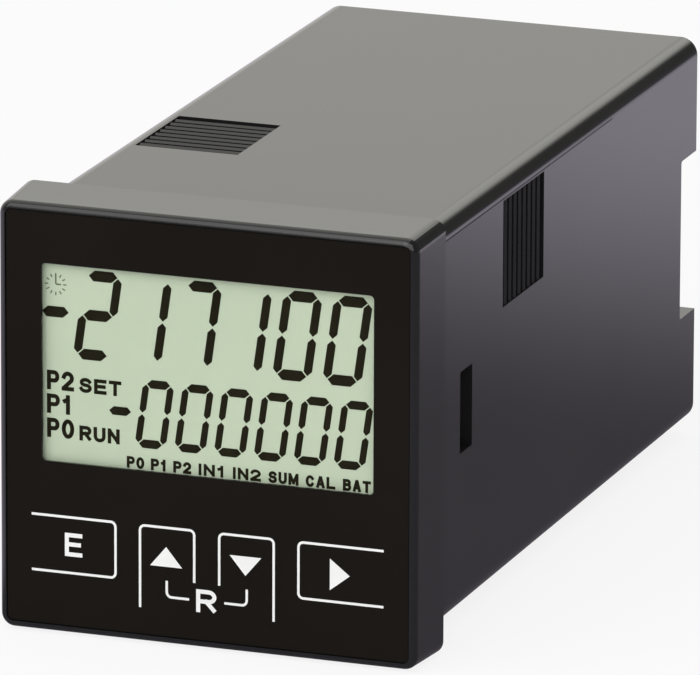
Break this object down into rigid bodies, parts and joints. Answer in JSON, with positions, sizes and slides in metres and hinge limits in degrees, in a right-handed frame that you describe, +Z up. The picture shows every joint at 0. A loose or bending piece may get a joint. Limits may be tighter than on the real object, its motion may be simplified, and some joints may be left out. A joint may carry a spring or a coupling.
{
  "type": "panel counter",
  "caption": "Square electronic panel counter with a liquid-crystal display, a printed front foil with short-travel keys, a deep vented case and rear screw terminals.",
  "frame": {"origin": "centre of the panel plane, which is the rear face of the bezel", "axes": "front towards -Y, case towards +Y along its depth, +Z up"},
  "size_m": [0.048, 0.098, 0.048],
  "materials": {
    "case_plastic": "satin black moulded plastic",
    "bezel_plastic": "semi-gloss black moulded plastic",
    "printed_foil": "black printed polyester foil with white marks",
    "clear_window": "clear acrylic",
    "display_glass": "pale green reflective display",
    "white_plastic": "white moulded plastic",
    "contact_rubber": "layered silicone rubber",
    "circuit_board": "green lacquered glass-fibre laminate",
    "dark_plastic": "dark moulded plastic",
    "plated_metal": "nickel-plated steel",
    "winding_tape": "yellow winding tape",
    "terminal_plastic": "dark grey moulded plastic"
  },
  "bodies": {
    "housing": {"case": "case_plastic", "front_bezel": "bezel_plastic", "front_foil": "printed_foil", "display_window": "clear_window", "lcd_glass": "display_glass", "lcd_frame": "white_plastic", "light_guide": "white_plastic", "contact_strip_upper": "contact_rubber", "contact_strip_lower": "contact_rubber", "display_board": "circuit_board", "switch_base_enter": "plated_metal", "switch_base_up": "plated_metal", "switch_base_down": "plated_metal", "switch_base_right": "plated_metal", "logic_board": "circuit_board", "power_board": "circuit_board", "logic_header": "dark_plastic", "power_header": "dark_plastic", "processor": "dark_plastic", "backup_cell": "plated_metal", "optocouplers": "dark_plastic", "relay_left": "white_plastic", "relay_right": "white_plastic", "transformer": "winding_tape", "capacitor": "dark_plastic", "rear_cover": "case_plastic", "terminal_block_upper": "terminal_plastic", "terminal_block_lower": "terminal_plastic", "terminal_screws_upper": "plated_metal", "terminal_screws_lower": "plated_metal"},
    "enter_key": {"key_enter": "dark_plastic", "switch_stem_enter": "dark_plastic"},
    "up_key": {"key_up": "dark_plastic", "switch_stem_up": "dark_plastic"},
    "down_key": {"key_down": "dark_plastic", "switch_stem_down": "dark_plastic"},
    "right_key": {"key_right": "dark_plastic", "switch_stem_right": "dark_plastic"}
  },
  "joints": [
    {"name": "enter_press", "type": "slide", "parent": "housing", "child": "enter_key", "axis": [0, 1, 0], "range_m": [0, 0.00025], "stiffness_N_per_m": 800},
    {"name": "up_press", "type": "slide", "parent": "housing", "child": "up_key", "axis": [0, 1, 0], "range_m": [0, 0.00025], "stiffness_N_per_m": 800},
    {"name": "down_press", "type": "slide", "parent": "housing", "child": "down_key", "axis": [0, 1, 0], "range_m": [0, 0.00025], "stiffness_N_per_m": 800},
    {"name": "right_press", "type": "slide", "parent": "housing", "child": "right_key", "axis": [0, 1, 0], "range_m": [0, 0.00025], "stiffness_N_per_m": 800}
  ]
}
